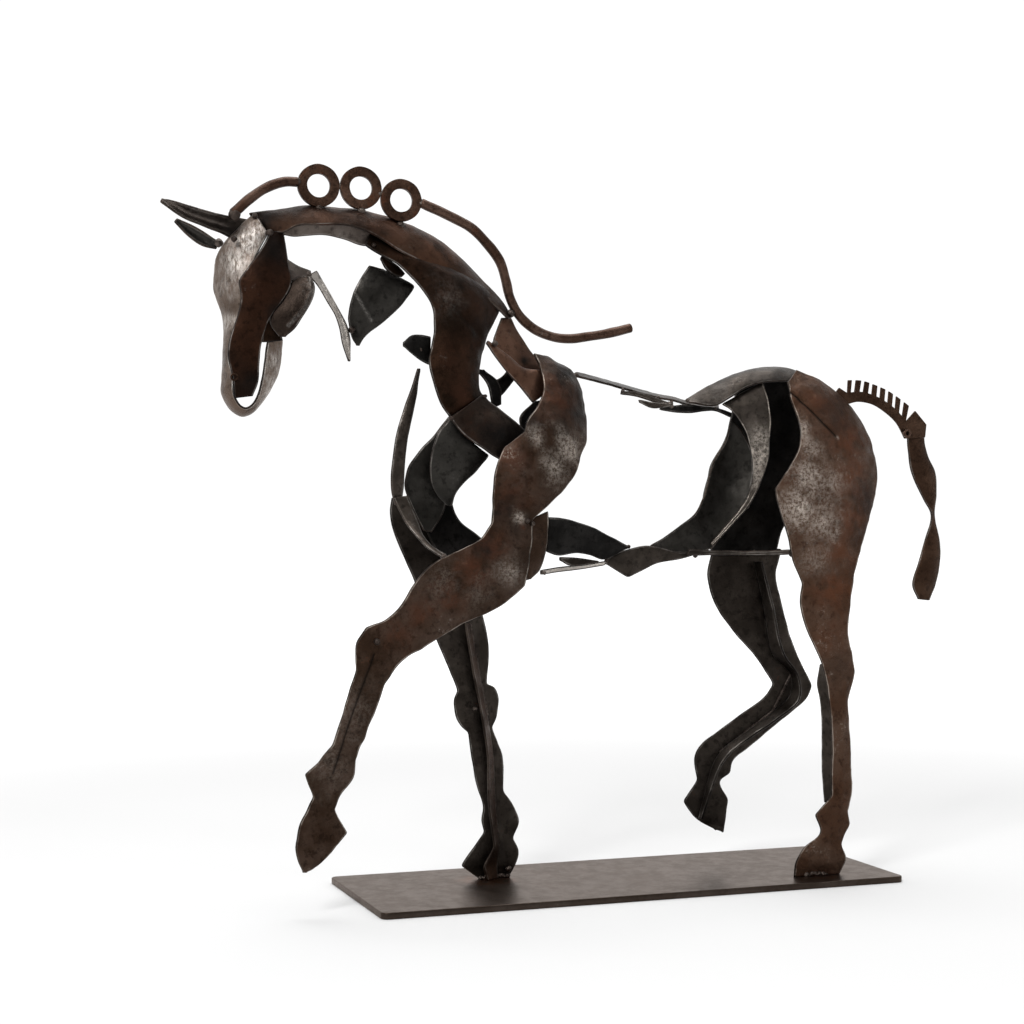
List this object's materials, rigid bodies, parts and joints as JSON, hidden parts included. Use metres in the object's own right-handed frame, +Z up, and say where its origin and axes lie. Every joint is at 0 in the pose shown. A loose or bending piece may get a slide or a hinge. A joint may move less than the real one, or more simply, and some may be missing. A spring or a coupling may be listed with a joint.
{
  "type": "scrap metal horse sculpture",
  "caption": "Tabletop sculpture of a walking horse, welded from curved scraps of dark sheet steel with a ring and rod mane, on a flat rectangular steel plate.",
  "frame": {"origin": "middle of the base plate's underside", "axes": "+X along the plate towards the tail, the head points to -X; +Y towards the far side of the horse, away from the dressed side; +Z up"},
  "size_m": [0.5159, 0.12, 0.4398],
  "materials": {
    "bright_sheet": "worn bright sheet steel with brown patina in the hollows",
    "brown_sheet": "hot worked sheet steel, rust brown patina, waxed",
    "grey_sheet": "hammered sheet steel, grey brown patina with a speckled sheen",
    "dark_sheet": "blackened sheet steel, waxed",
    "rod_steel": "round bar and washers, brown patina",
    "base_steel": "satin flat bar, brown mottled patina"
  },
  "bodies": {
    "root": {"base_plate": "base_steel", "near_foreleg": "brown_sheet", "near_hind_leg": "grey_sheet", "far_foreleg": "dark_sheet", "far_hind_leg": "dark_sheet", "mane_ring_1": "rod_steel", "mane_ring_2": "rod_steel", "mane_ring_3": "rod_steel", "mane_rod_front": "rod_steel", "mane_rod_rear": "rod_steel", "tail_comb": "grey_sheet", "tail_nut": "rod_steel", "neck_sheet": "dark_sheet", "neck_base_band": "dark_sheet", "crest_band": "brown_sheet", "crest_lining": "bright_sheet", "crest_scrap": "grey_sheet", "neck_leaf": "grey_sheet", "wither_plate": "brown_sheet", "wither_flap": "brown_sheet", "inner_band": "dark_sheet", "inner_arm": "dark_sheet", "inner_strap": "dark_sheet", "nose_plate": "bright_sheet", "cheek_plate": "brown_sheet", "cheek_disc": "brown_sheet", "jaw_bar": "grey_sheet", "throat_triangle": "grey_sheet", "throat_strip": "bright_sheet", "throat_plate": "grey_sheet", "near_ear": "brown_sheet", "far_ear": "grey_sheet", "elbow_plate": "grey_sheet", "far_shoulder": "dark_sheet", "far_haunch": "dark_sheet", "far_foreleg_fin": "dark_sheet", "near_hind_fin": "grey_sheet", "far_hind_fin": "dark_sheet", "chest_blade": "grey_sheet", "chest_leaf": "bright_sheet", "chest_inner_band": "dark_sheet", "chest_band": "dark_sheet", "croup_ribbon": "grey_sheet", "back_ribbon": "grey_sheet", "back_strip": "grey_sheet", "back_leaf": "grey_sheet", "back_under_strip": "dark_sheet", "flank_crescent": "grey_sheet", "flank_ribbon": "dark_sheet", "belly_panel": "dark_sheet", "belly_tab": "grey_sheet", "belly_strip": "bright_sheet", "belly_diamond": "grey_sheet", "belly_tie": "grey_sheet", "tail_leaf": "brown_sheet"}
  },
  "joints": []
}
